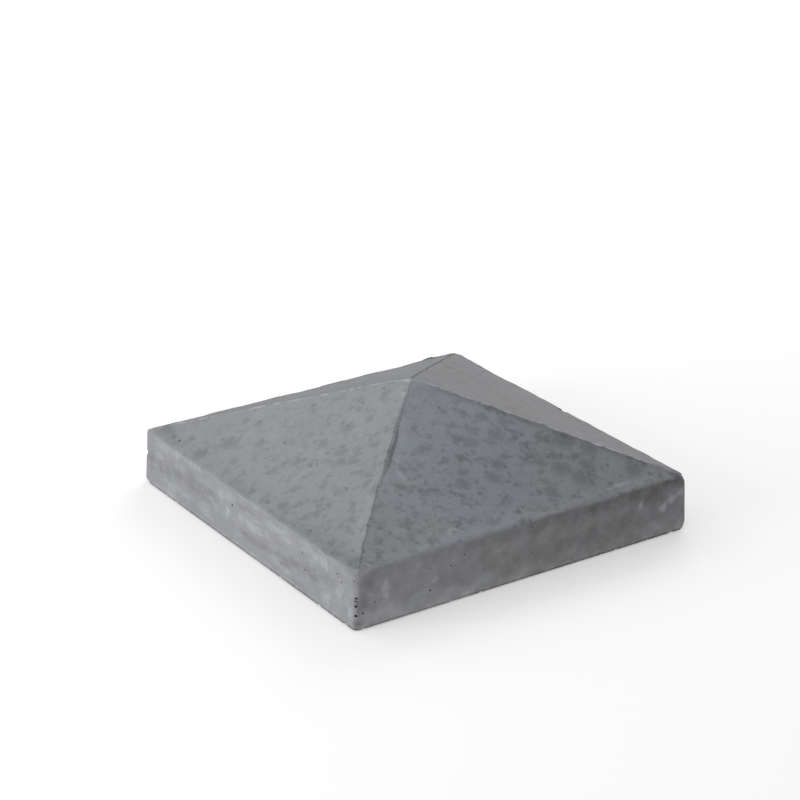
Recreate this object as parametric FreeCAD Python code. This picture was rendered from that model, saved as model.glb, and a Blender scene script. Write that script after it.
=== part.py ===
import FreeCAD, Part
import math
import os

# Pier cap of plain concrete, cast as one solid piece: a square rim with
# slightly drafted sides, weathered four ways to a point, with a drip groove
# round the underside. It stands on its bed with +Z up, and the origin is the
# centre of the bed. All lengths are in millimetres, all angles in degrees.

# Overall form, measured on the sharp arrises
BASE_SIDE = 400.0  # side of the square bed
RIM_HEIGHT = 58.0  # bed to rim arris
POINT_RISE = 82.0  # rim arris to point
SIDE_DRAFT = 2.2  # lean of the rim's sides, which lets the casting leave its mould

# Arris radii left by the mould
BASE_RADIUS = 1.5  # round the bed
CORNER_RADIUS = 4.0  # upright corners of the rim
RIM_RADIUS = 3.0  # where a side turns into a slope
HIP_RADIUS = 2.5  # where two slopes meet

# Drip groove, all round the underside
DRIP_MARGIN = 16.0  # edge of the bed to the groove
DRIP_WIDTH = 12.0  # across the groove's mouth
DRIP_DEPTH = 6.0
DRIP_DRAFT = 15.0  # lean of the groove's flanks


def run_out(height, draft):
    """Sideways run of a face that leans by draft over a height."""
    return height * math.tan(math.radians(draft))


def four_way(profile):
    """Solid on a square plan that shows the same profile from its front and its side.

    The profile is a list of (half width, height) from the bottom up, mirrored about the middle.
    """
    right = [FreeCAD.Vector(half, 0, height) for half, height in profile]
    left = [FreeCAD.Vector(-half, 0, height) for half, height in reversed(profile) if half > 0]
    reach = max(half for half, height in profile)
    section = Part.Face(Part.makePolygon(right + left + right[:1]))
    section.translate(FreeCAD.Vector(0, -reach, 0))
    along_y = section.extrude(FreeCAD.Vector(0, 2 * reach, 0))
    along_x = along_y.copy()
    along_x.rotate(FreeCAD.Vector(0, 0, 0), FreeCAD.Vector(0, 0, 1), 90)
    return along_y.common(along_x).removeSplitter().Solids[0]


def sharp_casting():
    """The cap with all its arrises sharp and its bed plain."""
    base_half = BASE_SIDE / 2
    rim_half = base_half - run_out(RIM_HEIGHT, SIDE_DRAFT)
    return four_way([(base_half, 0), (rim_half, RIM_HEIGHT), (0, RIM_HEIGHT + POINT_RISE)])


def arris_radius(edge):
    """Radius of an arris of the sharp casting, told by the heights of its two ends."""
    low, high = sorted(vertex.Point.z for vertex in edge.Vertexes)
    half_rim = RIM_HEIGHT / 2
    half_slope = RIM_HEIGHT + POINT_RISE / 2
    if high < half_rim:
        return BASE_RADIUS
    if low < half_rim:
        return CORNER_RADIUS
    if high < half_slope:
        return RIM_RADIUS
    return HIP_RADIUS


def eased(casting):
    """The casting with every arris rounded in one operation, each to its own radius."""
    document = FreeCAD.newDocument("pier_cap")
    sharp = document.addObject("Part::Feature", "sharp")
    sharp.Shape = casting
    fillet = document.addObject("Part::Fillet", "eased")
    fillet.Base = sharp
    radii = [arris_radius(edge) for edge in casting.Edges]
    fillet.Edges = [(number, radius, radius) for number, radius in enumerate(radii, 1)]
    document.recompute()
    shape = fillet.Shape.copy()
    FreeCAD.closeDocument(document.Name)
    return shape


def drip_groove():
    """The ring of material that the drip groove takes out of the underside."""
    outer = BASE_SIDE / 2 - DRIP_MARGIN
    inner = outer - DRIP_WIDTH
    flank_run = run_out(DRIP_DEPTH, DRIP_DRAFT)
    mouth = four_way([(outer, 0), (outer - flank_run, DRIP_DEPTH)])
    island = four_way([(inner, 0), (inner + flank_run, DRIP_DEPTH)])
    return mouth.cut(island)


pier_cap = eased(sharp_casting()).cut(drip_groove()).Solids[0]
if not pier_cap.isValid():
    raise ValueError("the pier cap is not a valid solid")

os.makedirs("parts", exist_ok=True)
pier_cap.exportStep("parts/pier_cap.step")
print(f"pier_cap: {pier_cap.Volume / 1e6:.3f} litres, {len(pier_cap.Faces)} faces")
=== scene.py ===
import math
from functools import partialmethod
from types import SimpleNamespace

import bpy
from bpy.props import FloatProperty, FloatVectorProperty, IntProperty, PointerProperty
from mathutils import Color, Matrix, Vector


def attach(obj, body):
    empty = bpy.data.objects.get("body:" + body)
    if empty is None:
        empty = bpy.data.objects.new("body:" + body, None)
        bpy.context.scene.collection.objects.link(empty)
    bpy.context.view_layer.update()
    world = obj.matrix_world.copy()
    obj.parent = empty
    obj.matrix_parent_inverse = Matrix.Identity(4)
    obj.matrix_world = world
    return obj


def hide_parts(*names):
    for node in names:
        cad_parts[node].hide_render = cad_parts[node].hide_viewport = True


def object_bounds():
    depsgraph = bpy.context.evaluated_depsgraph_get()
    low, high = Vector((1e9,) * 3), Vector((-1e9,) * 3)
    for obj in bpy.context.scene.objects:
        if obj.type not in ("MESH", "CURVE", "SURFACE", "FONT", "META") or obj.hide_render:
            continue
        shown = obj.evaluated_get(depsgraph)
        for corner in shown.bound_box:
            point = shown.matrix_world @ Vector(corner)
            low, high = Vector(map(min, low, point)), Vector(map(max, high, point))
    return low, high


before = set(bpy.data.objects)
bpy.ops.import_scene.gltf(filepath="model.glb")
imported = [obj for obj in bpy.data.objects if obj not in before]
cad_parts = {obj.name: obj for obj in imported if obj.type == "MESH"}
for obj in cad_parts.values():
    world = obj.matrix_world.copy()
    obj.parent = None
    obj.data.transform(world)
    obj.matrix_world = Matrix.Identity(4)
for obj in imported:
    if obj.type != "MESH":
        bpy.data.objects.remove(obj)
cad_low, cad_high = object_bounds()

bl_info = {
    "name": "Concrete Pier Cap",
    "version": (1, 0, 0),
    "blender": (4, 5, 0),
    "location": "3D View > Sidebar > Pier Cap",
    "description": "A weathered concrete pier cap, cast in one piece, on a pale studio floor",
    "category": "Object",
}

MM = 0.001
CAP_NODE = "pier_cap"
HALF_SIDE = (cad_high.x - cad_low.x) / 2

# Marks read from the photograph, as places on the cap in millimetres, most of them grouped by face.
# The front corner is at -X -Y, the left one at -X +Y and the right one at +X -Y.
# Air pits: place, radius of the mouth and depth.
PITS = {
    "front corner": (
        ((-198.6, -198.7, 33), 1.3, 2.0), ((-198.8, -197.6, 30), 1.0, 1.6), ((-199, -199, 25), 1.5, 2.4),
        ((-199.1, -199.3, 15.4), 1.6, 2.4),
    ),
    "right side": (
        ((-191, -199.3, 17), 1.1, 1.4), ((-178, -199, 25), 0.8, 0.9), ((-115, -199.3, 19), 1.0, 1.2),
        ((-91, -198.6, 38), 0.9, 1.1), ((-75, -198.3, 45), 0.7, 0.8), ((86, -199.4, 15), 0.8, 0.9),
    ),
    "left side": (
        ((-198.4, 22.5, 41), 1.2, 1.1), ((-199.2, -1, 21), 0.9, 0.9), ((-199.4, -70, 16), 0.8, 0.8),
        ((-198.4, -106, 42), 0.8, 0.9), ((-199, -112, 27), 1.0, 0.9), ((-198.2, -167, 46), 1.0, 0.9),
        ((-198.5, -174, 40), 0.8, 0.8),
    ),
    "left slope": (((-187, 146, 62.6), 1.2, 1.2), ((-79, -4, 107), 0.9, 0.9)),
    "right slope": (((-28, -73.5, 109.5), 0.6, 0.6),),
    "back left arris": (((161, 195, 60), 1.5, 1.6),),
    "front hip": (((-175, -177, 67.5), 0.9, 0.9),),
    "front head": (
        ((-195, -193, 55), 0.6, 0.7), ((-196.5, -193.5, 49), 0.6, 0.7), ((-194.5, -196, 47), 0.5, 0.6),
    ),
    "left side, small ones": (
        ((-199.2, -5, 20.5), 0.7, 0.7), ((-199.2, -9, 20), 0.6, 0.6), ((-198.3, -169.5, 43.5), 0.6, 0.6),
        ((-198.3, -172, 47), 0.5, 0.5),
    ),
    "right side, small ones": (((-125, -198.7, 40), 0.6, 0.6), ((-114, -198.6, 41), 0.6, 0.6)),
}
# Chips knocked off the arrises: place and reach along each axis.
CHIPS = {
    "right hip": (((50.5, -49.3, 119.5), (3.0, 2.2, 1.4)),),
    "right arris": (((-177, -199.5, 57.5), (4.0, 2.0, 1.8)), ((-160, -199.5, 58), (3.0, 1.8, 1.6))),
    "left corner": (((-199, 199, 33.5), (5.6, 5.6, 4.6)), ((-201, 199, -1.5), (5.5, 10, 6.0))),
    "right corner": (((203.5, -201, -3), (12, 12, 14)),),
    "back right arris": (((199, -1, 60.8), (8, 8, 5.5)),),
}
# Corner heads rubbed round: place and reach of the rubbing.
RUBBED = {
    "front corner head": ((-195, -195, 61), 9),
    "right corner head": ((197, -197, 59), 8),
    "back corner head": ((197, 197, 58), 12),
}
# Crusts of spilt cement: place, reach and height.
CRUSTS = {
    "back left arris": ((159, 199, 58), 10, 1.7),
}
# Pale smears of cement: place and reach along each axis.
SMEARS = {
    "right side": (
        ((-165, -199, 31), (6, 9, 14)), ((-110, -199, 29), (5, 9, 5)), ((139, -199, 42), (4, 9, 6)),
        ((170, -199, 31), (7, 9, 6)), ((181, -199, 37), (9, 9, 7)), ((190, -199, 42), (6, 9, 7)),
    ),
    "right slope": (
        ((120, -186.5, 62.8), (18, 4, 4)), ((-79, -89, 102.5), (6, 6, 5)), ((-86, -109, 95), (5, 12, 6)),
        ((-98, -178, 66), (7, 7, 5)), ((-79, -183, 64), (9, 6, 5)),
    ),
    "point": (((-2, 2, 138), (9, 8, 6)),),
    "front hip": (((-19, -14, 132), (7, 6, 5)),),
    "left side": (
        ((-198, 159, 51), (9, 9, 7)), ((-198, 134, 53), (9, 8, 7)), ((-198, 104, 54), (9, 22, 5)),
        ((-199, 46, 46), (9, 13, 13)), ((-199, 30, 30), (9, 7, 8)), ((-199, -8, 33), (9, 36, 7)),
        ((-198, -62, 47), (9, 34, 8)), ((-199, -76, 11), (9, 17, 4)), ((-198, -140, 48), (9, 24, 8)),
        ((-199, -152, 15), (9, 13, 9)), ((-199, -171, 31), (9, 8, 12)), ((-199, -191, 14), (9, 6, 10)),
    ),
}
# Damp patches: place and reach along each axis.
DAMP = {
    "left slope": (((-183, 176, 63), (9, 10, 7)),),
    "right slope": (((182, -197, 57.5), (17, 6, 4)),),
    "front hip": (((-184, -182, 64), (9, 7, 6)),),
    "left side": (
        ((-199, 186, 29), (9, 12, 13)), ((-199, 157, 29), (9, 26, 10)), ((-199, 131, 32), (9, 29, 11)),
        ((-199, 104, 36), (9, 30, 11)), ((-199, 76, 36), (9, 29, 10)), ((-199, -4, 47), (9, 22, 4)),
        ((-199, -14, 19), (9, 28, 6)), ((-199, -42, 20), (9, 29, 7)), ((-199, -70, 22), (9, 29, 7)),
        ((-199, -98, 25), (9, 29, 8)), ((-199, -124, 29), (9, 27, 8)), ((-199, -146, 33), (9, 25, 8)),
    ),
    "right side": (
        ((-183, -199, 45), (14, 9, 17)), ((-190, -199, 29), (9, 9, 14)), ((-188, -199, 6), (15, 9, 7)),
        ((157, -199, 46), (22, 9, 12)),
    ),
}
# Dirt and painted shade: place and reach along each axis. The marks by the front corner are painted shade
# down the right flank of its rounded head.
DIRT_AND_SHADE = {
    "front corner": (
        ((-198.2, -199.6, 7), (4.4, 3.4, 11)), ((-196.6, -199.6, 17), (2.2, 2.4, 8)),
        ((-196.6, -199.2, 29), (2.0, 2.4, 8)),
    ),
    "back left arris": (((161, 197, 60), (9, 9, 7)),),
}
# Soft dark blotches of the slopes: place in plan and reach.
LEFT_BLOTCHES = (
    ((-81, -6), 10), ((-81, -53), 9), ((-109, -4), 9), ((-132, 106), 6), ((-127, 88), 6), ((-142, 59), 8),
    ((-139, -3), 9), ((-106, -32), 8), ((-115, -44), 8), ((-61, -16), 7), ((-187, 105), 11),
    ((-159, 91), 13), ((-157, -129), 7), ((-157, -90), 6), ((-171, -90), 6), ((-182, -48), 7),
    ((-118, -97), 7), ((-48, 21), 6),
)
RIGHT_BLOTCHES = (
    ((19, -79), 10), ((38, -66), 11), ((-24, -123), 8), ((-32, -135), 9), ((16, -125), 10),
    ((1, -138), 10), ((76, -149), 14), ((88, -166), 14), ((101, -118), 15), ((122, -135), 13),
    ((106, -152), 9), ((48, -172), 10), ((-1, -83), 7), ((7, -92), 11), ((-77, -135), 8),
    ((-33, -186), 9), ((-123, -177), 7), ((60, -135), 9), ((80, -134), 8), ((-32, -37), 5), ((5, -47), 6),
    ((59, -78), 11), ((39, -91), 12), ((150, -172), 12),
)
# Kinds of patches: size of the lumps that make them ragged in millimetres, how ragged they are,
# and the share of their reach that is at full strength.
PATCHES = {
    "smear": (8, 1.9, 0.2),
    "damp": (12, 1.5, 0.25),
    "dirt": (5, 1.5, 0.2),
    "blotch": (6, 1.8, 0.4),
}

# Head of the front corner: the power at which it widens upwards, and its form, 1 for flat and 2 for round
HEAD_FLARE = 10.0
HEAD_ROUNDNESS = 1.12
# Points this near to each other become one, and edges sharper than this are not shaded smooth
MERGE_GAP = 0.02 * MM
CREASE_ANGLE = math.radians(42)
# Finish of the concrete: strength of its grain, roughness, how far the grain changes that, specular level
GRAIN_STRENGTH = 0.6
ROUGHNESS = 0.84
GRAIN_ROUGHNESS = 0.05
SPECULAR_LEVEL = 0.12
# How far off the patterns of the bed are taken from
BED_PATTERN_SHIFT = (310 * MM, 170 * MM, 230 * MM)

# Softboxes of the studio: where each stands in metres, its side and its power in watts. All face one place.
LAMPS = {
    "back_left_softbox": ((-1.1, 2.1, 1.7), 1.8, 9.0),
    "left_softbox": ((-2.4, 0.3, 0.6), 1.4, 30.0),
    "back_right_softbox": ((1.9, 1.6, 1.4), 1.6, 19.0),
}
LAMP_TARGET = Vector((0.0, 0.0, 0.06))
# Half the side of the floor in metres, and how far it lies below the bed
FLOOR_REACH = 12.0
FLOOR_DROP = 0.4 * MM


def length_setting(name, description, millimetres):
    return FloatProperty(name=name, description=description, default=millimetres * MM, unit="LENGTH")


def place_setting(name, description, millimetres):
    default = [part * MM for part in millimetres]
    return FloatVectorProperty(
        name=name, description=description, default=default, subtype="TRANSLATION", unit="LENGTH"
    )


def angle_setting(name, description, degrees):
    return FloatProperty(name=name, description=description, default=math.radians(degrees), unit="ROTATION")


def share_setting(name, description, share):
    return FloatProperty(name=name, description=description, default=share, subtype="FACTOR")


def colour_setting(name, description, colour):
    return FloatVectorProperty(name=name, description=description, default=colour, subtype="COLOR")


class CastingSettings(bpy.types.PropertyGroup):
    """Sizes of the casting and of its weathering. Lengths are in millimetres, angles in degrees."""

    rim_height: length_setting("Rim Height", "Bed to rim arris", 58)
    point_rise: length_setting("Point Rise", "Rim arris to point", 82)
    point_shift: place_setting("Point Shift", "How far the point is off its true place", (-0.1, 1.75, 0.2))
    point_wear: length_setting("Point Wear", "How far the point is worn down", 1.2)
    grid_step: length_setting("Grid Step", "Spacing of the surface points", 2.1)
    blank_margin: length_setting("Blank Margin", "How far the blank is off the solid at first", 6)
    bed_inset: length_setting("Bed Inset", "Side of the cap to the flat bed", 3.6)
    waviness: length_setting("Waviness", "Height of the broad waves of the faces", 0.3)
    relief: length_setting("Relief", "Height of the fine unevenness", 0.08)
    rim_wander: length_setting("Rim Wander", "How far the rim arris wanders", 0.9)
    rim_lift: length_setting("Rim Lift", "How far the right rim arris stands above the others", 1.6)
    hip_wander: length_setting("Hip Wander", "How far the hips wander sideways", 1.6)
    front_hip_bow: length_setting("Front Hip Bow", "How far the front hip bows to the left", 2.6)
    seam_ridge: length_setting("Seam Ridge", "Height of the ridge along the hips", 0.8)
    arris_wear: share_setting("Arris Wear", "Share of wear along the arrises", 0.45)
    hip_wear: share_setting("Hip Wear", "Share of wear along the front and right hips", 0.7)
    side_lean: angle_setting("Side Lean", "Lean of the rim's sides", 2.2)
    corner_radius: length_setting("Corner Radius", "Radius of the upright corners", 4)
    head_radius: length_setting("Head Radius", "Radius of the front corner at its head", 20)
    head_foot: length_setting("Head Foot", "Height where the front corner starts to widen", 6)
    seam_start: place_setting("Seam Start", "Upper end of the seam by the front hip", (-27.8, -27.4, 128.3))
    seam_end: place_setting("Seam End", "Lower end of the seam by the front hip", (-119, -116.8, 91))
    seam_radius: length_setting("Seam Radius", "Half the width of the open seam", 0.75)
    groove_margin: length_setting("Groove Margin", "Edge of the bed to the drip groove", 16)
    groove_width: length_setting("Groove Width", "Across the mouth of the drip groove", 12)
    groove_depth: length_setting("Groove Depth", "Depth of the drip groove", 6)
    groove_lean: angle_setting("Groove Lean", "Lean of the groove's flanks", 15)
    pit_density: FloatProperty(
        name="Pit Density", description="Air pits in a square metre of the rim", default=150.0
    )
    slope_pit_share: share_setting("Slope Pit Share", "Pits on the slopes for each on the rim", 0.25)
    pit_radius: length_setting("Pit Radius", "Radius of the largest scattered pit", 0.9)
    foot_chip_spacing: length_setting("Foot Chip Spacing", "Along the foot, chip to chip", 9)
    foot_chip_radius: length_setting("Foot Chip Radius", "Radius of the largest chip of the foot", 2.4)
    seed: IntProperty(name="Seed", description="Seed of the scattered pits and chips", default=7)


class ConcreteSettings(bpy.types.PropertyGroup):
    """Colours of the concrete."""

    slope_colour: colour_setting("Slope Colour", "Smooth concrete of the slopes", (0.298, 0.305, 0.32))
    bloom_colour: colour_setting("Bloom Colour", "Bluish bloom on the slopes", (0.29, 0.312, 0.348))
    warm_colour: colour_setting("Warm Colour", "Concrete of the back right slope", (0.309, 0.307, 0.312))
    rim_colour: colour_setting("Rim Colour", "Concrete of the rim", (0.29, 0.294, 0.307))
    clay_colour: colour_setting("Clay Colour", "Brownish stain of the rim", (0.266, 0.264, 0.268))
    smear_colour: colour_setting("Smear Colour", "Pale smears of cement", (0.37, 0.376, 0.388))
    broken_colour: colour_setting("Broken Colour", "Concrete where it is chipped", (0.25, 0.253, 0.257))
    # Painted dark as shade of the pit's hollow as well as its concrete
    pit_colour: colour_setting("Pit Colour", "Concrete inside a pit", (0.1, 0.1, 0.102))
    blotch_strength: share_setting("Blotch Strength", "How dark the damp blotches are", 0.37)


class StageSettings(bpy.types.PropertyGroup):
    """Camera, floor and sky. Lengths are in millimetres, angles in degrees."""

    camera_place: place_setting("Camera Place", "Where the camera stands", (-1307.1, -1874.4, 1083.6))
    camera_azimuth: angle_setting("Camera Azimuth", "Turn of the view about the upright axis", -34.593)
    camera_pitch: angle_setting("Camera Pitch", "How far the camera looks down", 22.956)
    camera_roll: angle_setting("Camera Roll", "Tilt of the frame", 0.59)
    lens: FloatProperty(name="Lens", description="Focal length", default=110.62, unit="CAMERA")
    floor_colour: colour_setting("Floor Colour", "Colour of the floor", (0.85, 0.85, 0.85))
    floor_lift: FloatProperty(
        name="Floor Lift", description="Light added to the floor where the camera sees it", default=0.3
    )
    sky_strength: FloatProperty(
        name="Sky Strength", description="Light that comes from all round", default=0.56
    )


class Value:
    """A socket in a tree that can be reckoned with as a number or a vector."""

    def __init__(self, build, socket):
        self.build = build
        self.socket = socket
        self.parts = None

    def reckon(self, operation, *others):
        """The result of a math node, or of a vector math node where this is a vector."""
        kind = "ShaderNodeVectorMath" if is_vector(self) else "ShaderNodeMath"
        return self.build.get(kind, self, *others, operation=operation)

    __add__ = __radd__ = partialmethod(reckon, "ADD")
    __sub__ = partialmethod(reckon, "SUBTRACT")
    __truediv__ = partialmethod(reckon, "DIVIDE")
    __pow__ = partialmethod(reckon, "POWER")
    __abs__ = partialmethod(reckon, "ABSOLUTE")
    __lt__ = partialmethod(reckon, "LESS_THAN")
    __gt__ = partialmethod(reckon, "GREATER_THAN")
    sign = partialmethod(reckon, "SIGN")
    length = partialmethod(reckon, "LENGTH")
    distance = partialmethod(reckon, "DISTANCE")

    def __rsub__(self, other):
        return self.build.get("ShaderNodeMath", other, self, operation="SUBTRACT")

    def __mul__(self, other):
        if is_vector(self) == is_vector(other):
            return self.reckon("MULTIPLY", other)
        vector, factor = (self, other) if is_vector(self) else (other, self)
        return self.build.get("ShaderNodeVectorMath", vector, factor, operation="SCALE")

    def __neg__(self):
        return self * -1.0

    def __rtruediv__(self, other):
        return self.build.get("ShaderNodeMath", other, self, operation="DIVIDE")

    def part(self, axis):
        """One part of a vector. The node that takes it apart is made once."""
        if self.parts is None:
            self.parts = self.build.add("ShaderNodeSeparateXYZ", self).outputs
        return Value(self.build, self.parts[axis])

    x = property(lambda self: self.part("X"))
    y = property(lambda self: self.part("Y"))
    z = property(lambda self: self.part("Z"))

    def remap(self, low, high, to_low=0.0, to_high=1.0):
        """The value carried smoothly from one range to another, and held at both ends."""
        return self.build.get(
            "ShaderNodeMapRange", self, low, high, to_low, to_high, interpolation_type="SMOOTHSTEP"
        )

    def over(self, low, high, to_low=0.0, to_high=1.0):
        """A length's share, which rises from the low length to the high one, both in millimetres."""
        return self.remap(low * MM, high * MM, to_low, to_high)

    def under(self, low, high):
        """A length's share, which falls from 1 at the low length to 0 at the high one."""
        return self.over(low, high, 1.0, 0.0)

    def noise(self, size, detail=2.0, roughness=0.5):
        """Noise about 0.5 at a place, whose lumps are about a size across in millimetres."""
        return self.build.get("ShaderNodeTexNoise", self, 1 / (size * MM), detail, roughness)

    def swing(self, size, detail=2.0, roughness=0.5):
        """Noise about 0, mostly between -1 and 1."""
        return self.noise(size, detail, roughness) * 4.0 - 2.0

    def jitter(self, size):
        """A vector of noise at a place, about 0 in every part."""
        noise = self.build.get("ShaderNodeTexNoise", self, 1 / (size * MM), 3.0, output="Color")
        return noise - (0.5, 0.5, 0.5)

    def warped(self, size, reach):
        """The place shifted about by noise, which makes what is drawn there ragged."""
        return self + self.jitter(size) * (reach * MM)


def is_vector(value):
    if isinstance(value, Value):
        return value.socket.type in ("VECTOR", "RGBA")
    return isinstance(value, (tuple, Vector))


def largest(first, *others):
    for other in others:
        first = first.reckon("MAXIMUM", other)
    return first


def smallest(first, *others):
    for other in others:
        first = first.reckon("MINIMUM", other)
    return first


class NodeBuilder:
    """Adds nodes to one tree, and fills or links their inputs."""

    def __init__(self, tree):
        self.tree = tree

    def add(self, kind, *values, **options):
        """A node with its options set and its open inputs filled in order. None leaves an input alone."""
        node = self.tree.nodes.new(kind)
        for name, option in options.items():
            setattr(node, name, option)
        for socket, value in zip([socket for socket in node.inputs if socket.enabled], values):
            self.feed(socket, value)
        return node

    def feed(self, socket, value):
        """Links a value to an input, or sets the input to a plain number, vector or colour."""
        if isinstance(value, Value):
            self.tree.links.new(value.socket, socket)
        elif isinstance(value, Color):
            socket.default_value = (*value, 1.0)
        elif value is not None:
            socket.default_value = value

    def get(self, kind, *values, output=None, **options):
        """The named output of a new node, or else its first open one."""
        node = self.add(kind, *values, **options)
        first_open = next(socket for socket in node.outputs if socket.enabled)
        return Value(self, node.outputs[output] if output else first_open)

    def join(self, x, y, z):
        return self.get("ShaderNodeCombineXYZ", x, y, z)

    def upward(self, height):
        return self.join(0.0, 0.0, height)

    def mix(self, share, first, second, kind="RGBA"):
        return self.get("ShaderNodeMix", share, first, second, data_type=kind)

    def place(self):
        """Where a point of the geometry is."""
        return self.get("GeometryNodeInputPosition")

    def normal(self):
        """The way that the geometry faces."""
        return self.get("GeometryNodeInputNormal")

    def kept(self, geometry, name, value, kind="FLOAT", domain="POINT"):
        """The geometry with a value stored on it under a name."""
        return self.get(
            "GeometryNodeStoreNamedAttribute", geometry, None, name, value, data_type=kind, domain=domain
        )

    def stored(self, name, kind="FLOAT_VECTOR"):
        """A value stored on the geometry under a name."""
        return self.get("GeometryNodeInputNamedAttribute", name, data_type=kind)

    def nearest(self, geometry):
        """The place on a geometry that is nearest to a point."""
        return self.get("GeometryNodeProximity", geometry, target_element="FACES", output="Position")

    def moved(self, geometry, chosen=None, to=None, by=None):
        """The geometry with its chosen points moved to a place or by an offset."""
        return self.get("GeometryNodeSetPosition", geometry, chosen, to, by)

    def softened(self, geometry, share, rounds):
        """The geometry drawn by a share towards its own form, blurred a number of times."""
        place = self.place()
        soft = self.get("GeometryNodeBlurAttribute", place, rounds, data_type="FLOAT_VECTOR")
        return self.moved(geometry, to=self.mix(share, place, soft, "VECTOR"))

    def merged(self, geometry):
        return self.get("GeometryNodeMergeByDistance", geometry, None, MERGE_GAP)

    def copied(self, lump, points, size, turn=None):
        """A copy of a lump at each point."""
        return self.get("GeometryNodeInstanceOnPoints", points, None, lump, None, None, turn, size)

    def cut(self, mesh, *cutters):
        """The mesh with the cutters taken out of it."""
        node = self.add("GeometryNodeMeshBoolean", mesh, operation="DIFFERENCE", solver="MANIFOLD")
        for cutter in cutters:
            self.feed(node.inputs["Mesh 2"], cutter)
        return Value(self, node.outputs["Mesh"])


def socket_name(key):
    return key.replace("_", " ").title()


def socket_kind(value):
    """The kind of socket that takes a plain value."""
    kinds = {
        float: "Float",
        int: "Int",
        Vector: "Vector",
        bpy.types.Object: "Object",
        bpy.types.Material: "Material",
    }
    return next(kind for value_type, kind in kinds.items() if isinstance(value, value_type))


def new_tree(name, kind, inputs, outputs):
    """An empty node group with named sockets, with its builder, its inputs and its outputs."""
    tree = bpy.data.node_groups.new(name, kind)
    for in_out, sockets in (("INPUT", inputs), ("OUTPUT", outputs)):
        for key, socket in sockets.items():
            tree.interface.new_socket(socket_name(key), in_out=in_out, socket_type=f"NodeSocket{socket}")
    build = NodeBuilder(tree)
    sockets = zip(inputs, build.add("NodeGroupInput").outputs)
    given = SimpleNamespace(**{key: Value(build, socket) for key, socket in sockets})
    result = build.add("NodeGroupOutput").inputs
    return tree, build, given, result


def flat(place):
    """A place brought down to the level of the bed."""
    return place * (1.0, 1.0, 0.0)


def plan_reach(place):
    """How far a place lies from the middle of the square plan, measured square to the nearest side."""
    across = abs(place)
    return largest(across.x, across.y)


def off_hips(place):
    """How far a place lies from the nearest hip, measured along a side of the plan."""
    across = abs(place)
    return abs(across.x - across.y)


def marks_with(build, given, name):
    """The marks that hold a size under a name."""
    is_kind = build.stored(name).length() > 0.0
    return build.get("GeometryNodeSeparateGeometry", given.marks, is_kind)


def nearest_mark(build, given, name, place):
    """The place and the size of the mark of a kind that lies nearest to a point."""
    marks = marks_with(build, given, name)
    index = build.get("GeometryNodeSampleNearest", marks, place, domain="POINT")
    return [
        build.get("GeometryNodeSampleIndex", marks, value, index, data_type="FLOAT_VECTOR")
        for value in (build.place(), build.stored(name))
    ]


def add_blank(build, given):
    """A fine grid box round the solid, drawn up to a point and open in the middle of its underside."""
    half = given.half_side + given.blank_margin
    side = half * 2.0
    tall = given.rim_height + given.blank_margin * 2.0
    counts = given.side_points, given.side_points, given.rim_points
    box = build.get("GeometryNodeMeshCube", build.join(side, side, tall), *counts)
    box = build.moved(box, by=build.upward(given.rim_height * 0.5))

    place = build.place()
    reach = plan_reach(place)
    inner = reach < half - given.grid_step
    underside = (build.normal().z < -0.9) * inner
    box = build.get("GeometryNodeDeleteGeometry", box, underside, domain="FACE", mode="ALL")
    is_top = place.z > given.rim_height + given.blank_margin * 0.9
    nearness = 1.0 - reach / half
    return build.moved(box, is_top, by=build.upward(nearness * given.point_rise))


def add_settling(build, given, blank):
    """The blank, settled on the solid, with the edge of its open underside on the bed."""
    place = build.place()
    half = given.half_side + given.blank_margin
    open_edge = half - given.grid_step * 0.6
    is_bed = (plan_reach(place) < open_edge) * (place.z < 0.0)
    shrink = (given.half_side - given.bed_inset) / (half - given.grid_step)
    on_bed = place * build.join(shrink, shrink, 0.0)
    solid = build.get("GeometryNodeObjectInfo", given.solid, output="Geometry")
    settled = build.get("GeometryNodeSwitch", is_bed, build.nearest(solid), on_bed, input_type="VECTOR")
    return build.softened(build.moved(blank, to=settled), place.z > 0.1 * MM, rounds=1)


def add_rounded_head(build, given, casting):
    """The front corner, rounded wider and wider towards its head."""
    place = build.place()
    share = (place.z - given.head_foot) / (given.rim_height - given.head_foot)
    share = build.get("ShaderNodeClamp", share) ** HEAD_FLARE
    radius = given.corner_radius + share * (given.head_radius - given.corner_radius)

    # How far a point lies into the corner's square, past the middle of its round
    middle = radius - (given.half_side - place.z * given.side_slant)
    past = flat(largest(build.join(middle, middle, 0.0) - place, (0.0, 0.0, 0.0)))
    powers = past ** (HEAD_ROUNDNESS, HEAD_ROUNDNESS, 1.0)
    span = (powers.x + powers.y) ** (1 / HEAD_ROUNDNESS)
    shrink = smallest(radius / largest(span, 0.1 * MM), 1.0)
    return build.moved(casting, by=past * (1.0 - shrink))


def add_wear(build, given, casting):
    """Arrises worn towards a softer form, and the corner heads rubbed round."""
    place = build.place()
    patchy = place.noise(16, 3.0, 0.6).remap(0.38, 0.68, 0.15, 1.0)
    foot = place.z.over(0.3, 12)
    casting = build.softened(casting, patchy * foot * given.arris_wear, rounds=6)

    above_rim = place.z - given.rim_height
    near_hip = off_hips(place).under(5, 18) * above_rim.over(3, 12) * place.y.under(-6, 6)
    casting = build.softened(casting, near_hip * given.hip_wear, rounds=12)

    spot, spot_size = nearest_mark(build, given, "rubbed", place)
    ragged = place.noise(9) * 0.6 + 0.7
    near = place.distance(spot) * ragged / spot_size.x
    return build.softened(casting, near.remap(0.25, 1.0, 0.7, 0.0) * foot, rounds=70)


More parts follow.
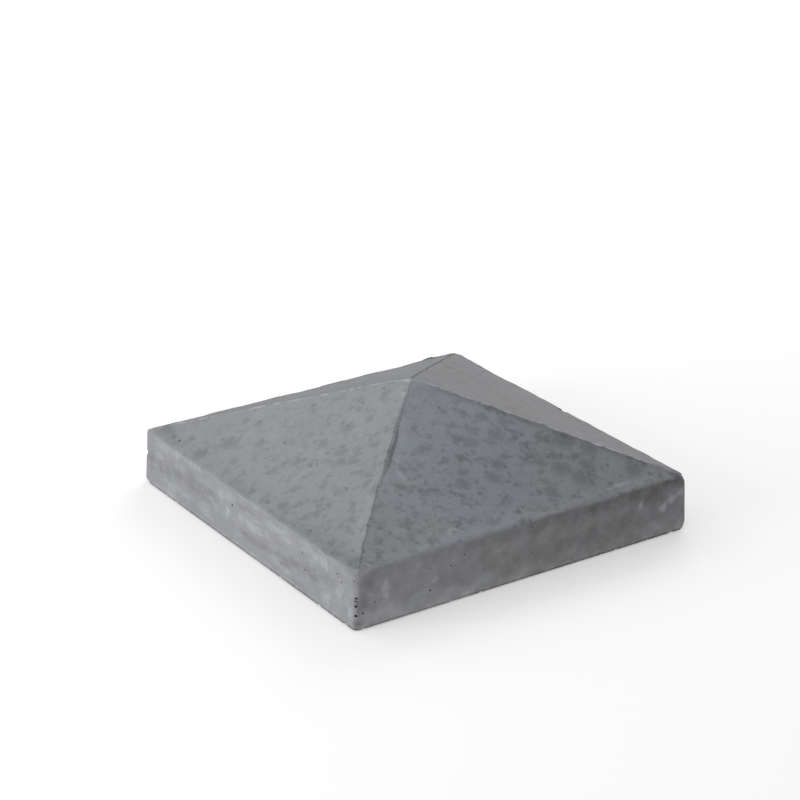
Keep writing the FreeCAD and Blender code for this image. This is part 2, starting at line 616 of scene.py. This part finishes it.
def add_relief(build, given, casting):
    """Waves of the cast faces, the wandering rim, the seam ridges on the hips and the crusts."""
    place = build.place()
    above_rim = place.z - given.rim_height
    rim = abs(above_rim).under(0, 16) * (given.half_side - plan_reach(place)).under(3, 18)
    is_right = (-place.y - abs(place).x).over(0, 30)
    wander = flat(place).swing(36, 3.0) * given.rim_wander + is_right * given.rim_lift
    casting = build.moved(casting, by=build.upward(wander * rim))

    ridge = off_hips(place).under(0.4, 3.4) * above_rim.over(2, 12)
    ridge = ridge * place.noise(14, 3.0, 0.6).remap(0.3, 0.7, 0.1, 1.0)
    spot, spot_size = nearest_mark(build, given, "crust", place)
    near = place.distance(spot) / spot_size.x
    lumpy = place.noise(5) * 1.2 + 0.4
    crust = near.remap(0.3, 1.0, 1.0, 0.0) * spot_size.z * lumpy
    waves = place.swing(75) * given.waviness
    grit = place.swing(8, 3.0) * given.relief
    out = crust + waves + grit + ridge * given.seam_ridge
    return build.moved(casting, by=build.normal() * (out * place.z.over(0.3, 10)))


def add_shift(build, given, casting):
    """The slopes shifted: the point off its place and worn, the hips wandering and the front one bowed."""
    place = build.place()
    reach = plan_reach(place)
    above_rim = place.z - given.rim_height
    nearness = (1.0 - reach / given.half_side) * (above_rim > 0.0)
    wear = reach.under(2, 15) * given.point_wear
    shift = given.point_shift * nearness + build.upward(-wear)

    sideways = place.sign() * (math.sqrt(0.5), -math.sqrt(0.5), 0.0)
    is_front = largest(place.x, place.y) < 0.0
    bow = is_front * given.front_hip_bow * nearness.remap(0.0, 0.3, 0.6, 1.0)
    bow = bow * nearness.remap(0.74, 0.97, 1.0, 0.0)
    wander = place.swing(26, 3.0) * given.hip_wander * reach.over(5, 30)
    near_hip = off_hips(place).under(2, 18) * above_rim.over(2, 12)
    shift = shift + sideways * ((bow + wander) * near_hip)
    casting = build.kept(casting, "shift", shift, "FLOAT_VECTOR")
    return build.moved(casting, by=build.stored("shift"))


def add_bed(build, casting):
    """The casting closed by its flat bed."""
    is_open = build.get("GeometryNodeInputMeshEdgeNeighbors") < 1.5
    edge = build.get("GeometryNodeMeshToCurve", casting, is_open)
    bed = build.get("GeometryNodeFillCurve", edge, mode="NGONS")
    bed = build.get("GeometryNodeFlipFaces", bed, build.normal().z > 0.0)
    whole = build.add("GeometryNodeJoinGeometry")
    for part in (casting, bed):
        build.feed(whole.inputs["Geometry"], part)
    return build.merged(Value(build, whole.outputs["Geometry"]))


def add_patches(build, given, casting, kind, lump, raggedness, full):
    """The casting with a share stored on it that fades out, raggedly, round the patches of a kind."""
    place = build.place()
    spot, size = nearest_mark(build, given, f"{kind}_size", place)
    near = (place - spot) / size + place.jitter(lump) * raggedness
    return build.kept(casting, kind, near.length().remap(full, 1.1, 1.0, 0.0))


def add_lump(build, fineness, mark=None):
    """A lumpy ball, one metre in radius, that cuts a hollow, and the mark that its faces leave there."""
    place = build.place()
    swell = place.swing(1100, 1.0) * 0.28
    ball = build.moved(build.get("GeometryNodeMeshIcoSphere", 1.0, fineness), by=place * swell)
    return build.kept(ball, mark, True, "BOOLEAN", "FACE") if mark else ball


def skewed_random(build, given, draw, power):
    """A random share for each point, more often small than large. Each draw has its own number."""
    share = build.get("FunctionNodeRandomValue", 0.0, 1.0, None, given.seed + draw, data_type="FLOAT")
    return share ** power


def onto(build, casting, points):
    """Points moved to the nearest place on the casting."""
    return build.moved(points, to=build.nearest(casting))


def points_along(build, path, spacing):
    """Points spaced evenly along a path."""
    path = build.get("GeometryNodeResampleCurve", path, None, spacing, mode="LENGTH")
    return build.get("GeometryNodeCurveToPoints", path, mode="EVALUATED", output="Points")


def add_scattered_pits(build, given, casting, lump):
    """Air pits scattered over the faces, more of them on the rim than on the slopes."""
    facing_up = build.normal().z.remap(0.4, 0.6)
    density = build.mix(facing_up, 1.0, given.slope_pit_share, "FLOAT") * given.pit_density
    scatter = build.add("GeometryNodeDistributePointsOnFaces", casting, None, density, given.seed).outputs
    points, turn = (Value(build, scatter[name]) for name in ("Points", "Rotation"))
    radius = (skewed_random(build, given, draw=1, power=3.0) * 0.75 + 0.25) * given.pit_radius
    return build.copied(lump, points, build.join(radius, radius, radius), turn)


def add_marked_pits(build, given, casting, lump):
    """The air pits of the photograph, each in its own place."""
    marks = onto(build, casting, marks_with(build, given, "pit_size"))
    normal = build.get(
        "GeometryNodeSampleNearestSurface",
        casting, build.normal(), None, build.place(), data_type="FLOAT_VECTOR",
    )
    turn = build.get("FunctionNodeAlignRotationToVector", None, None, normal, axis="Z")
    return build.copied(lump, marks, build.stored("pit_size"), turn)


def add_marked_chips(build, given, lump):
    """The chips of the photograph, each in its own place."""
    return build.copied(lump, marks_with(build, given, "chip_size"), build.stored("chip_size"))


def add_foot_chips(build, given, lump):
    """Small chips all along the foot, where the casting was drawn from its mould."""
    side = given.half_side * 2.0
    path = build.get("GeometryNodeCurvePrimitiveQuadrilateral", side, side)
    points = points_along(build, path, given.foot_chip_spacing)
    spread = build.join(given.foot_chip_spacing, given.foot_chip_spacing, 0.0)
    back, ahead = spread * -0.5, spread * 0.5
    slide = build.get(
        "FunctionNodeRandomValue", back, ahead, None, given.seed + 2, data_type="FLOAT_VECTOR"
    )
    limit = build.join(given.half_side, given.half_side, 1.0)
    place = smallest(largest(build.place() + slide, limit * -1.0), limit)
    radius = (skewed_random(build, given, draw=3, power=3.0) * 0.85 + 0.15) * given.foot_chip_radius
    long = radius * 1.8
    return build.copied(lump, build.moved(points, to=place), build.join(long, long, radius))


def add_seam(build, given, casting, lump):
    """The ragged open seam that the mould's joint left beside the front hip."""
    line = build.get("GeometryNodeCurvePrimitiveLine", given.seam_start, given.seam_end)
    points = onto(build, casting, points_along(build, line, given.seam_radius * 1.3))
    place = build.place()
    share = place.noise(26).remap(0.34, 0.6, 0.25, 1.0) * place.z.over(91, 104, 0.1, 1.0)
    chance = skewed_random(build, given, draw=4, power=1.0)
    radius = (share * 0.75 + chance * 0.25) * given.seam_radius
    long = radius * 1.5
    return build.copied(lump, points, build.join(long, long, radius))


def add_frustum(build, low_half, high_half, low, high):
    """A square frustum between two heights, with its half side at each."""
    low_radius, high_radius = (half * math.sqrt(2) for half in (low_half, high_half))
    frustum = build.get("GeometryNodeMeshCone", 4, 1, 1, high_radius, low_radius, high - low)
    return build.get("GeometryNodeTransform", frustum, build.upward(low), (0.0, 0.0, math.radians(45)))


def add_groove(build, given):
    """The ring that the drip groove takes out of the bed. It starts as far below the bed as it goes up."""
    depth, flank = given.groove_depth, given.groove_flank
    outer, inner = given.groove_outside, given.groove_inside
    outside = add_frustum(build, outer + flank, outer - flank, -depth, depth)
    island = add_frustum(build, inner - flank * 2.0, inner + flank * 2.0, depth * -2.0, depth * 2.0)
    return build.cut(outside, island)


def casting_tree(inputs):
    """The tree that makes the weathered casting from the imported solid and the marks."""
    kinds = {"marks": "Geometry", **{key: socket_kind(value) for key, value in inputs.items()}}
    tree, build, given, result = new_tree(
        "weathered_casting", "GeometryNodeTree", kinds, {"casting": "Geometry"}
    )
    casting = add_blank(build, given)
    for add_step in (add_settling, add_rounded_head, add_wear, add_relief, add_shift):
        casting = add_step(build, given, casting)
    casting = add_bed(build, casting)
    for kind, edge in PATCHES.items():
        casting = add_patches(build, given, casting, kind, *edge)
    casting = build.merged(build.cut(
        casting,
        add_groove(build, given),
        add_scattered_pits(build, given, casting, add_lump(build, fineness=2, mark="is_pit")),
        add_marked_pits(build, given, casting, add_lump(build, fineness=3, mark="is_pit")),
        add_marked_chips(build, given, add_lump(build, fineness=3, mark="is_chip")),
        add_foot_chips(build, given, add_lump(build, fineness=2, mark="is_chip")),
        add_seam(build, given, casting, add_lump(build, fineness=1)),
    ))
    casting = build.get("GeometryNodeSetShadeSmooth", casting, None, True)
    crease = build.get("GeometryNodeInputMeshEdgeAngle") > CREASE_ANGLE
    casting = build.get("GeometryNodeSetShadeSmooth", casting, crease, False, domain="EDGE")
    casting = build.get("GeometryNodeRealizeInstances", casting)
    casting = build.get("GeometryNodeSetMaterial", casting, None, given.concrete)
    for mark, material in (("is_pit", given.pit_concrete), ("is_chip", given.broken_concrete)):
        casting = build.get("GeometryNodeSetMaterial", casting, build.stored(mark, "BOOLEAN"), material)
    build.feed(result["Casting"], casting)
    return tree


def on_slope(plan, sizes):
    """The place on the slopes over a place in plan, in millimetres."""
    x, y = plan
    rim_half = HALF_SIDE - sizes.rim_height * math.tan(sizes.side_lean)
    nearness = 1 - max(abs(x), abs(y)) * MM / rim_half
    return x, y, (sizes.rim_height + nearness * sizes.point_rise) / MM


def marks_of(groups):
    """All marks of a table that groups them by face."""
    return [mark for group in groups.values() for mark in group]


def marks_mesh(sizes):
    """Loose points at the marks of the photograph, with the size of each stored on it under its kind."""
    kinds = {
        "pit_size": [(place, (radius, radius, depth)) for place, radius, depth in marks_of(PITS)],
        "chip_size": marks_of(CHIPS),
        "rubbed": [(place, [reach] * 3) for place, reach in RUBBED.values()],
        "crust": [(place, (reach, reach, height)) for place, reach, height in CRUSTS.values()],
        "smear_size": marks_of(SMEARS),
        "damp_size": marks_of(DAMP),
        "dirt_size": marks_of(DIRT_AND_SHADE),
        "blotch_size": [
            (on_slope(plan, sizes), [reach] * 3) for plan, reach in LEFT_BLOTCHES + RIGHT_BLOTCHES
        ],
    }
    marks = [(kind, place, size) for kind, members in kinds.items() for place, size in members]
    mesh = bpy.data.meshes.new("pier_cap_marks")
    mesh.from_pydata([Vector(place) * MM for _, place, _ in marks], [], [])
    for kind in kinds:
        mesh.attributes.new(kind, "FLOAT_VECTOR", "POINT")
    for number, (kind, _, size) in enumerate(marks):
        mesh.attributes[kind].data[number].vector = Vector(size) * MM
    return mesh


def evaluated_mesh(maker, tree, inputs):
    """The plain mesh that a tree makes on an object. The inputs are set before the object is evaluated."""
    modifier = maker.modifiers.new(tree.name, "NODES")
    modifier.node_group = tree
    sockets = {item.name: item.identifier for item in tree.interface.items_tree if item.in_out == "INPUT"}
    for key, value in inputs.items():
        modifier[sockets[socket_name(key)]] = value
    made = bpy.data.meshes.new_from_object(maker.evaluated_get(bpy.context.evaluated_depsgraph_get()))
    maker.modifiers.remove(modifier)
    for slot in reversed(range(len(made.materials))):
        if made.materials[slot] is None:
            made.materials.pop(index=slot)
    return made


def grain_group():
    """Sand grain of concrete, shared by its cast, pitted and broken faces."""
    tree, build, given, result = new_tree(
        "sand_grain",
        "ShaderNodeTree",
        {"place": "Vector", "size": "Float"},
        {"tone": "Float", "height": "Float"},
    )
    # The place is scaled as if each grain were a millimetre across
    place = given.place * (MM / given.size)
    fine = place.noise(1, 3.0, 0.6)
    coarse = place.noise(4)
    build.feed(result["Tone"], fine * 3.0 + coarse - 2.0)
    build.feed(result["Height"], fine * 0.6 + coarse * 0.4)
    return tree


def new_material(name):
    """A material with its builder and the inputs of its shader."""
    material = bpy.data.materials.new(name)
    material.use_nodes = True
    return material, NodeBuilder(material.node_tree), material.node_tree.nodes["Principled BSDF"].inputs


def place_on_piece(build):
    return build.get("ShaderNodeTexCoord", output="Object")


def sand_grain(place, grain_tree, size):
    """The tone and the height of the sand grain at a place, for grains of a size in millimetres."""
    outputs = place.build.add("ShaderNodeGroup", place, size * MM, node_tree=grain_tree).outputs
    tone, height = (Value(place.build, outputs[name]) for name in ("Tone", "Height"))
    return SimpleNamespace(tone=tone, height=height)


def finish_concrete(shader, colour, tone, grain, bump_height):
    """Feeds a concrete shader its colour times its tone, and its roughness and bump from the grain."""
    build = tone.build
    bump = build.add("ShaderNodeBump", GRAIN_STRENGTH, bump_height * MM)
    build.feed(bump.inputs["Height"], grain.height)
    build.feed(shader["Base Color"], colour * tone)
    build.feed(shader["Roughness"], grain.tone * GRAIN_ROUGHNESS + ROUGHNESS)
    build.feed(shader["Specular IOR Level"], SPECULAR_LEVEL)
    build.feed(shader["Normal"], Value(build, bump.outputs["Normal"]))


def spots(place, size, cover, low_radius, high_radius, softness=0.7):
    """Soft spots, one at most in a cell of a size in millimetres, that cover a share of the cells.

    Their radii are shares of the cell.
    """
    cells = place.build.add("ShaderNodeTexVoronoi", place, 1 / (size * MM)).outputs
    distance, chance = (Value(place.build, cells[name]) for name in ("Distance", "Color"))
    radius = chance.x * (high_radius - low_radius) + low_radius
    inside = (distance / radius).remap(1 - softness, 1.0, 1.0, 0.0)
    return inside * (chance.y < cover) * (chance.z * 0.55 + 0.45)


def lying(place):
    """A place drawn in along the level, which makes what is drawn there lie in long streaks."""
    return place * (0.4, 0.4, 1.0)


class CapFaces:
    """The place where patterns are drawn, and shares from 0 to 1 that tell the faces of the cap apart."""

    def __init__(self, place, sizes):
        self.build = place.build
        unmoved = place - self.stored("shift", "Vector")
        across = abs(unmoved)
        self.x, self.y, self.height = unmoved.x, unmoved.y, unmoved.z
        ripple = flat(place).swing(30, 3.0)
        self.above_rim = self.height + ripple * (1.6 * MM) - sizes.rim_height
        self.slope = self.above_rim.over(-1.5, 1.5)
        self.rim = 1.0 - self.slope
        self.low = self.above_rim.remap(0.0, sizes.point_rise, 1.0, 0.0)
        self.bed = (HALF_SIDE - plan_reach(unmoved)).over(4, 8) * self.height.under(10, 20)
        self.off_bed = 1.0 - self.bed
        self.off_hip = off_hips(unmoved)
        self.past_right_hips = -self.y - across.x
        self.past_back_hips = self.y - across.x
        self.left = (-self.x - across.y).over(-1.5, 1.5) * self.off_bed
        self.right = self.past_right_hips.over(-1.5, 1.5) * self.off_bed
        self.back_left = self.past_back_hips.over(-1.5, 1.5) * self.off_bed
        # The origin is in the middle of the bed, where patterns of all sizes would run together in a fan
        self.place = place + self.bed * BED_PATTERN_SHIFT
        worn = self.place.noise(6, 3.0, 0.6).remap(0.34, 0.58, 0.45, 1.0)
        self.smear = self.stored("smear") * worn * self.off_bed

    def stored(self, name, output="Fac"):
        """What the casting holds under a name at each point."""
        return self.build.get(
            "ShaderNodeAttribute", attribute_type="GEOMETRY", attribute_name=name, output=output
        )


def slope_colour(faces, colours):
    """Smooth grey, bluish in clouds, most of all in mid right slope, and warmer at the back right."""
    clouds = faces.place.noise(45, 4.0, 0.55).remap(0.3, 0.58, 0.5, 1.0)
    middle = faces.right * abs(faces.x + 20 * MM).over(30, 150, 1.0, 0.1)
    middle = middle * faces.height.over(66, 108, 0.6, 1.0)
    bloom = clouds * (middle * 0.88 + 0.12)
    warm = 0.9 - largest(faces.left, faces.right, faces.back_left) * 0.9
    plain = faces.build.mix(warm, colours.slope_colour, colours.warm_colour)
    return faces.build.mix(bloom, plain, colours.bloom_colour)


def rim_colour(faces, colours):
    """Paler grey, brownish on the right side, with clouds and smears of pale cement."""
    clay = faces.place.noise(48, 3.0, 0.6).remap(0.36, 0.6)
    clay = clay * (faces.right * faces.x.over(-150, 20, 0.15, 1.0) * 0.95 + 0.05)
    colour = faces.build.mix(clay, colours.rim_colour, colours.clay_colour)
    clouds = lying(faces.place).warped(12, 9).noise(12, 5.0, 0.6).remap(0.45, 0.68)
    smear = largest(clouds * (faces.left * 0.4 + 0.25), faces.smear)
    return faces.build.mix(smear, colour, colours.smear_colour)


def blotches(faces):
    """Damp blotches of the slopes, most of them on the right one and low down."""
    ragged = faces.place.warped(8, 9)
    few = 0.05 + faces.left * 0.12 + faces.right * 0.25
    many = 0.15 + faces.left * 0.4 + faces.right * 0.45 + faces.low * 0.2
    left_part = faces.left * faces.y.over(0, 110, 1.0, 0.4)
    right_part = faces.right * faces.height.over(104, 130, 1.0, 0.4)
    clouds = ragged.noise(13, 4.0, 0.58).remap(0.49, 0.67)
    share = largest(
        clouds * (0.15 + left_part * 0.35 + right_part * 0.55),
        spots(ragged, 23, few, 0.14, 0.36, 0.85) * 0.6,
        spots(ragged, 11, many, 0.18, 0.48, 0.75) * 0.85,
        spots(faces.place.warped(5, 8), 7.5, many, 0.18, 0.48, 0.8) * 0.5,
        faces.stored("blotch") * 0.55,
    )
    return share * faces.slope


def seam_shade(faces):
    """Painted shade on the right slope along its two hips: a thin dark line beside the front one, as the
    shadow of the seam's lip, and a soft band beside the right one.
    """
    past = faces.past_right_hips + faces.place.swing(7, 3.0, 0.6) * (0.6 * MM)
    widening = faces.height.over(94, 102) * faces.height.over(110, 119, 5 * MM, 1.6 * MM)
    fading = faces.height.over(84, 106, 0.5, 1.0) * faces.height.over(121, 129, 1.0, 0.15)
    uneven = faces.place.noise(40).remap(0.32, 0.55, 0.7, 1.0)
    thin = past.over(-0.5, 0.4) * (past - widening).under(1.8, 3.2) * uneven * fading
    cloudy = faces.place.noise(24, 3.0).remap(0.36, 0.58, 0.2, 1.0)
    wide = past.over(-1, 4) * past.under(4, 16) * cloudy
    by_front_hip = faces.x.under(-4, 4)
    by_right_hip = faces.x.over(4, 20)
    return largest(thin * by_front_hip, wide * by_right_hip * 0.42) * faces.slope


def hip_highlights_and_shade(faces):
    """Painted highlights as broken lines along the crests of the side hips, and painted shade on the back
    hip, behind the left one and beside the right one.
    """
    x, y = faces.x, faces.y
    patchy = faces.place.noise(12, 3.0, 0.6).remap(0.4, 0.6)
    crest = faces.off_hip.under(0.6, 2.9)
    side_hips = x * y < 0.0
    is_front = largest(x, y) < 0.0
    is_back = smallest(x, y) > 0.0
    low_right = x.over(120, 138) * x.under(164, 178) * side_hips
    # The light is painted highlight on the crests, and the dark is painted shade beside them
    light = crest * (patchy * (side_hips * 0.6 + is_front * 0.12) + low_right * 0.25)
    behind = faces.past_back_hips.over(0.8, 1.8) * faces.past_back_hips.under(3, 9) * (x < 0.0)
    beyond = faces.past_right_hips.over(-16, -2) * (1.0 - faces.right) * side_hips * (x > 0.0)
    dark = beyond * x.over(160, 182, -0.08, 0.25) + crest * is_back * 0.42 + behind * 0.3
    return (light - dark) * faces.slope


def rim_tone(faces):
    """Cloudy tone of the rim. The right side has painted shade below its arris, darkens to the right,
    partly as stain and partly as painted light, and has painted bounce light of the floor at its foot.
    """
    wave = faces.place.swing(22, 3.0)
    streaks = lying(faces.place).warped(7, 6).swing(9, 4.0, 0.6)
    lumps = faces.place.warped(12, 12).swing(14, 4.0, 0.6)
    cloudy = faces.build.mix(faces.right, streaks, lumps, "FLOAT")
    along = faces.x.over(-140, 110)
    shade_below_arris = (faces.above_rim + wave * (3 * MM)).over(-17, -2) * (along * 0.4 + 0.6)
    bounce_light_at_foot = (faces.height + wave * (5 * MM)).under(5, 24) * (1.3 - along * 0.45)
    bounce_light_at_foot = bounce_light_at_foot * faces.place.noise(17, 3.0).remap(0.34, 0.6, 0.5, 1.0)
    # Painted shade below the arris, darkening to the right that is partly painted light, and painted bounce
    # light at the foot
    right = cloudy * 0.09 - along * 0.24 - shade_below_arris * 0.2 + bounce_light_at_foot * 0.34 + faces.smear * 0.25
    return (cloudy * 0.06 + faces.right * right) * faces.rim


def slope_tone(faces):
    """Broad tones of the slopes. Their constant parts are painted light on the left one and painted shade
    on the others, and the back left one has a line of painted shade at its foot. The left one darkens low
    down and towards its foot and front, and the right one darkens to the right.
    """
    foot = (faces.above_rim + faces.place.swing(22, 3.0) * (3 * MM)).under(1, 12)
    foot = foot * faces.place.noise(50).remap(0.36, 0.56, 0.3, 1.0)
    # The constants are painted light on the left slope and painted shade on the others
    left = 0.09 - faces.low * 0.06 - faces.y.under(-120, 60) * 0.06 - foot * 0.16
    pale = spots(faces.place.warped(6, 7), 12, 0.5, 0.2, 0.5, 0.85) * faces.x.under(-110, -30)
    right = pale * 0.13 - faces.x.over(-90, 110) * 0.14 + faces.height.over(86, 122) * 0.13 - 0.06
    # A line of painted shade at the foot of the back left slope
    back_left = faces.above_rim.under(1, 5) * -0.25 - 0.08
    far = 1.0 - faces.left - faces.right
    far_tone = faces.place.warped(14, 18).swing(16, 4.0, 0.6) * 0.045 - 0.05
    tone = faces.left * left + faces.right * right + faces.back_left * back_left + far * far_tone
    return (tone + faces.smear * 0.28) * faces.slope


def cast_concrete_material(colours, sizes, grain_tree):
    """The cast faces: smooth mottled slopes, and a paler smeared rim."""
    material, build, shader = new_material("cast_concrete")
    faces = CapFaces(place_on_piece(build), sizes)
    place = faces.place
    grain = sand_grain(place, grain_tree, size=1.8)
    colour = build.mix(faces.slope, rim_colour(faces, colours), slope_colour(faces, colours))
    foot = faces.height + place.swing(5) * (0.9 * MM)
    pale_lip = foot.over(2.6, 3.6) * foot.under(4.4, 6.4) * place.noise(7).remap(0.45, 0.62)
    # A pale lip above the foot, and below it a dark line of painted contact shadow along the bottom edge
    lip_and_contact_shade = pale_lip * 0.2 - foot.under(0.8, 3.0) * 0.55
    # Damp patches, and the dirt marks, which by the front corner are painted shade
    stains_and_shade = faces.stored("damp") * 0.18 + faces.stored("dirt") * 0.5
    clouds = place.swing(85, 3.0) + place.swing(18, 4.0, 0.6)
    mottle = place.warped(6, 5).swing(6, 3.0, 0.6)
    pale_specks, dark_specks = (spots(place, size, 0.4, 0.02, 0.06) for size in (26, 15))
    tone = (
        1.0
        + clouds * 0.04
        + mottle * 0.035
        + grain.tone * 0.05
        + (pale_specks - dark_specks) * 0.3
        - blotches(faces) * colours.blotch_strength
        - seam_shade(faces) * 0.45
        + hip_highlights_and_shade(faces)
        + slope_tone(faces)
        + rim_tone(faces)
        + (lip_and_contact_shade - stains_and_shade) * faces.off_bed
    )
    finish_concrete(shader, colour, tone, grain, bump_height=0.5)
    return material


def pit_material(colours, grain_tree):
    """The inside of an air pit, painted dark as shade of the hollow, with some clay stain."""
    material, build, shader = new_material("pit_concrete")
    place = place_on_piece(build)
    grain = sand_grain(place, grain_tree, size=1.0)
    stained = build.mix(place.noise(3), colours.pit_colour, colours.clay_colour)
    colour = build.mix(0.25, colours.pit_colour, stained)
    tone = grain.tone * 0.25 + 1.0
    finish_concrete(shader, colour, tone, grain, bump_height=0.4)
    return material


def broken_material(colours, grain_tree):
    """Sandy broken faces with bits of aggregate."""
    material, build, shader = new_material("broken_concrete")
    place = place_on_piece(build)
    grain = sand_grain(place, grain_tree, size=0.9)
    stones = spots(place, 4, 0.6, 0.2, 0.5)
    tone = 1.0 + grain.tone * 0.15 + place.swing(6) * 0.1 - stones * 0.25
    colour = build.mix(place.noise(5), colours.broken_colour, colours.clay_colour)
    finish_concrete(shader, colour, tone, grain, bump_height=0.9)
    return material


def casting_inputs(sizes, colours):
    """What the casting's tree is given: settings or what follows from them, the solid and the materials."""
    inputs = {key: getattr(sizes, key) for key in CastingSettings.__annotations__}
    side = 2 * (HALF_SIDE + sizes.blank_margin)
    tall = sizes.rim_height + 2 * sizes.blank_margin
    side_steps = 2 * round(side / sizes.grid_step / 2)
    inputs["grid_step"] = side / side_steps
    inputs["side_points"] = side_steps + 1
    inputs["rim_points"] = round(tall / sizes.grid_step) + 1
    inputs["half_side"] = HALF_SIDE
    inputs["side_slant"] = math.tan(inputs.pop("side_lean"))
    inputs["groove_outside"] = HALF_SIDE - inputs.pop("groove_margin")
    inputs["groove_inside"] = inputs["groove_outside"] - inputs.pop("groove_width")
    inputs["groove_flank"] = sizes.groove_depth * math.tan(inputs.pop("groove_lean"))
    inputs["solid"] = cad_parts[CAP_NODE]
    grain_tree = grain_group()
    inputs["concrete"] = cast_concrete_material(colours, sizes, grain_tree)
    inputs["pit_concrete"] = pit_material(colours, grain_tree)
    inputs["broken_concrete"] = broken_material(colours, grain_tree)
    return inputs


class PIERCAP_OT_cast(bpy.types.Operator):
    """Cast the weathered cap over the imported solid"""

    bl_idname = "piercap.cast"
    bl_label = "Cast Pier Cap"

    def execute(self, context):
        sizes = context.scene.pier_cap_casting
        inputs = casting_inputs(sizes, context.scene.pier_cap_concrete)
        piece = bpy.data.objects.new("weathered_pier_cap", marks_mesh(sizes))
        context.scene.collection.objects.link(piece)
        piece.data = evaluated_mesh(piece, casting_tree(inputs), inputs)
        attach(piece, "root")
        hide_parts(CAP_NODE)
        return {"FINISHED"}


def seen_as_background(build, seen, otherwise):
    """One value for what is seen, straight or in a reflection, and another for the light it gives."""
    path = build.add("ShaderNodeLightPath").outputs
    rays = (Value(build, path[f"Is {kind} Ray"]) for kind in ("Camera", "Glossy", "Transmission"))
    return largest(*rays) * (seen - otherwise) + otherwise


def floor_material(stage):
    """A pale floor that the camera sees as white, apart from the shadow on it."""
    material, build, shader = new_material("pale_floor")
    build.feed(shader["Base Color"], stage.floor_colour)
    build.feed(shader["Roughness"], 1.0)
    build.feed(shader["Specular IOR Level"], 0.0)
    build.feed(shader["Emission Color"], (1.0, 1.0, 1.0, 1.0))
    build.feed(shader["Emission Strength"], seen_as_background(build, stage.floor_lift, 0.0))
    return material


class PIERCAP_OT_stage(bpy.types.Operator):
    """Set up the floor, the lamps and the camera"""

    bl_idname = "piercap.stage"
    bl_label = "Set Up Stage"

    def execute(self, context):
        scene = context.scene
        stage = scene.pier_cap_stage
        scene.view_settings.view_transform = "Standard"
        self.add_camera(scene, stage)
        self.add_floor(scene, stage)
        self.add_lamps(scene)
        self.add_sky(scene, stage)
        return {"FINISHED"}

    def add_camera(self, scene, stage):
        camera = bpy.data.objects.new("camera", bpy.data.cameras.new("camera"))
        scene.collection.objects.link(camera)
        camera.data.lens = stage.lens
        turn = Matrix.Rotation(stage.camera_azimuth, 4, "Z")
        pitch = Matrix.Rotation(math.pi / 2 - stage.camera_pitch, 4, "X")
        roll = Matrix.Rotation(stage.camera_roll, 4, "Z")
        camera.matrix_world = Matrix.Translation(stage.camera_place) @ turn @ pitch @ roll
        scene.camera = camera

    def add_floor(self, scene, stage):
        mesh = bpy.data.meshes.new("floor")
        corners = [(-1, -1), (1, -1), (1, 1), (-1, 1)]
        places = [(x * FLOOR_REACH, y * FLOOR_REACH, -FLOOR_DROP) for x, y in corners]
        mesh.from_pydata(places, [], [(0, 1, 2, 3)])
        floor = bpy.data.objects.new("floor", mesh)
        scene.collection.objects.link(floor)
        floor.data.materials.append(floor_material(stage))

    def add_lamps(self, scene):
        for name, (place, side, power) in LAMPS.items():
            lamp = bpy.data.lights.new(name, "AREA")
            lamp.size = side
            lamp.energy = power
            softbox = bpy.data.objects.new(name, lamp)
            scene.collection.objects.link(softbox)
            softbox.location = place
            softbox.rotation_euler = (LAMP_TARGET - Vector(place)).to_track_quat("-Z", "Y").to_euler()
            softbox.visible_camera = False

    def add_sky(self, scene, stage):
        world = bpy.data.worlds.new("studio")
        scene.world = world
        world.use_nodes = True
        world.node_tree.nodes.clear()
        build = NodeBuilder(world.node_tree)
        strength = seen_as_background(build, 1.0, stage.sky_strength)
        sky = build.get("ShaderNodeBackground", (1.0, 1.0, 1.0, 1.0), strength)
        build.add("ShaderNodeOutputWorld", sky)


class PIERCAP_PT_panel(bpy.types.Panel):
    """Pier cap tools in the sidebar"""

    bl_idname = "PIERCAP_PT_panel"
    bl_label = "Pier Cap"
    bl_space_type = "VIEW_3D"
    bl_region_type = "UI"
    bl_category = "Pier Cap"

    def draw(self, context):
        for operator in (PIERCAP_OT_cast, PIERCAP_OT_stage):
            self.layout.operator(operator.bl_idname)


CLASSES = (
    CastingSettings,
    ConcreteSettings,
    StageSettings,
    PIERCAP_OT_cast,
    PIERCAP_OT_stage,
    PIERCAP_PT_panel,
)


def register():
    for cls in CLASSES:
        bpy.utils.register_class(cls)
    bpy.types.Scene.pier_cap_casting = PointerProperty(type=CastingSettings)
    bpy.types.Scene.pier_cap_concrete = PointerProperty(type=ConcreteSettings)
    bpy.types.Scene.pier_cap_stage = PointerProperty(type=StageSettings)


def unregister():
    del bpy.types.Scene.pier_cap_stage
    del bpy.types.Scene.pier_cap_concrete
    del bpy.types.Scene.pier_cap_casting
    for cls in reversed(CLASSES):
        bpy.utils.unregister_class(cls)


def main():
    register()
    bpy.ops.piercap.cast()
    bpy.ops.piercap.stage()


if __name__ == "__main__":
    main()
